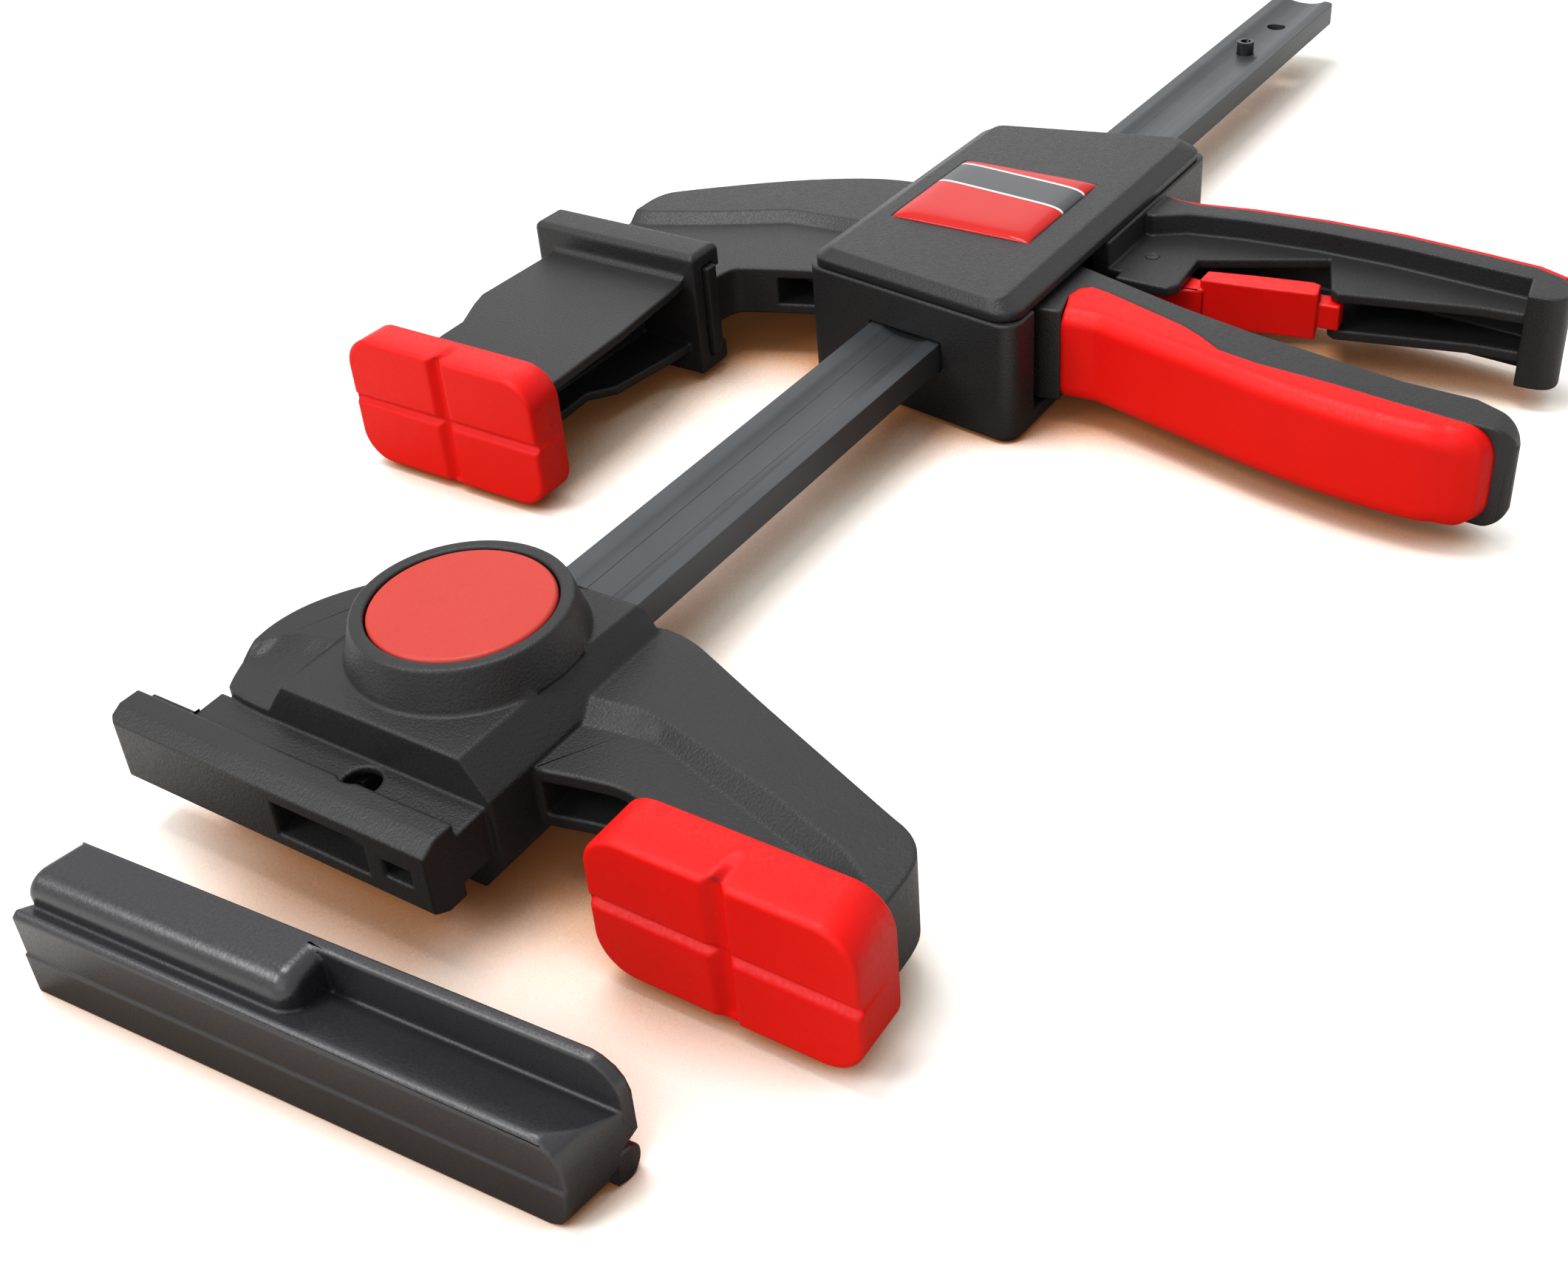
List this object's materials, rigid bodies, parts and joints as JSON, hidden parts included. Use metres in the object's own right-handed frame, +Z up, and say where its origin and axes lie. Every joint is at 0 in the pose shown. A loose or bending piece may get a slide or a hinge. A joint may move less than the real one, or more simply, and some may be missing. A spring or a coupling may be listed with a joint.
{
  "type": "quick release bar clamp",
  "caption": "One-handed bar clamp: flat bar, fixed head with push-button lock, sliding jaw with pump lever, release trigger, clip-on extension jaw and soft pads.",
  "frame": {"origin": "on the push button's axis, level with the fixed head's flat underside", "axes": "+X along the bar towards its rear end, +Y towards the sliding arm, +Z up through the button"},
  "size_m": [0.4667, 0.2274, 0.037],
  "materials": {
    "bar_steel": "burnished",
    "pin_steel": "plain",
    "spring_steel": "drawn wire",
    "black_nylon": "fine grained",
    "black_smooth": "satin",
    "red_pad": "soft matt",
    "red_button": "matt",
    "red_trigger": "satin",
    "red_badge": "glossy"
  },
  "bodies": {
    "bar_and_head": {"rail": "bar_steel", "rail_stop_pin": "pin_steel", "fixed_head": "black_nylon", "fixed_jaw_pad": "red_pad", "press_bar": "black_smooth"},
    "button": {"release_button": "red_button", "lock_pin": "pin_steel", "button_spring": "spring_steel"},
    "carriage": {"slide_body": "black_nylon", "housing_cover": "black_nylon", "badge_plate": "red_badge", "cover_screws": "pin_steel", "handle_strip": "red_pad", "pump_pivot_pin": "pin_steel", "pump_return_spring": "spring_steel", "drive_spring": "spring_steel", "brake_spring": "spring_steel", "release_pin": "pin_steel"},
    "lever": {"pump_lever": "black_nylon", "pump_grip": "red_pad"},
    "drive": {"drive_plates": "pin_steel"},
    "brake": {"brake_plate": "pin_steel"},
    "release": {"release_lever": "red_trigger"},
    "extension": {"extension_jaw": "black_nylon", "extension_pad": "red_pad"}
  },
  "joints": [
    {"name": "carriage_slide", "type": "slide", "parent": "bar_and_head", "child": "carriage", "axis": [1, 0, 0], "range_m": [-0.095, 0.1028]},
    {"name": "button_press", "type": "slide", "parent": "bar_and_head", "child": "button", "axis": [0, 0, -1], "range_m": [0, 0.0066], "stiffness_N_per_m": 900, "springref_m": -0.002, "deforming": ["button_spring"]},
    {"name": "pump_swing", "type": "hinge", "parent": "carriage", "child": "lever", "pos_m": [0.163, 0.017, 0.0132], "axis": [0, 0, 1], "range_deg": [0, 10], "stiffness_Nm_per_rad": 0.6, "springref_deg": -11.46},
    {"name": "drive_slide", "type": "slide", "parent": "carriage", "child": "drive", "axis": [1, 0, 0], "range_m": [0, 0.0066], "deforming": ["drive_spring"]},
    {"name": "release_swing", "type": "hinge", "parent": "carriage", "child": "release", "pos_m": [0.1945, -0.0352, 0.0132], "axis": [0, 0, 1], "range_deg": [0, 8], "stiffness_Nm_per_rad": 0.3, "springref_deg": -11.46},
    {"name": "brake_tilt", "type": "hinge", "parent": "carriage", "child": "brake", "pos_m": [0.2055, 0.02, 0.0132], "axis": [0, 0, 1], "range_deg": [-2.4, 0], "deforming": ["brake_spring"]},
    {"name": "extension_slide", "type": "slide", "parent": "carriage", "child": "extension", "axis": [0, 1, 0], "range_m": [0, 0.04]}
  ],
  "couplings": [
    {"joint": "drive_slide", "follows": "pump_swing", "m_per_rad": 0.0375},
    {"joint": "brake_tilt", "follows": "release_swing", "ratio": -0.3}
  ]
}
